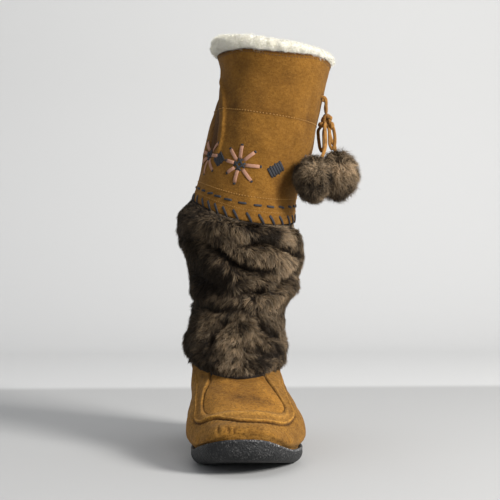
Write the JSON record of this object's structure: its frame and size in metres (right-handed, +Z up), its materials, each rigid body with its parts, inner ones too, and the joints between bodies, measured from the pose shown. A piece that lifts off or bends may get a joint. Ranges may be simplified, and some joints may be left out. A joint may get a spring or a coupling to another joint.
{
  "type": "mukluk boot",
  "caption": "Left mukluk boot with a moccasin toe, faux-fur leg wrap, embroidered suede cuff with a tied lace and pompoms, fleece lining and a rubber cup sole",
  "frame": {"origin": "point on the heel's flat underside, under the ankle", "axes": "+Z up; toe towards -Y; outer (lateral) side of the left boot towards +X"},
  "size_m": [0.1791, 0.278, 0.401],
  "materials": {
    "suede": "napped golden-tan suede, matte",
    "rubber": "black pebbled rubber, matte",
    "fur": "long-pile faux fur, dark brown with taupe tips",
    "fleece": "off-white curly fleece",
    "footbed": "plain pale felt",
    "lace": "flat suede lace, tan"
  },
  "bodies": {
    "root": {"outsole": "rubber", "insole": "footbed", "upper": "suede", "apron_frame": "suede", "apron": "suede", "fur_shaft": "fur", "collar_lining": "fleece", "tie_bars": "lace", "tie_knot": "lace", "tie_loop_front": "lace", "tie_loop_back": "lace", "tie_end_front": "lace", "tie_end_back": "lace", "pompom_front": "fur", "pompom_back": "fur"}
  },
  "joints": []
}
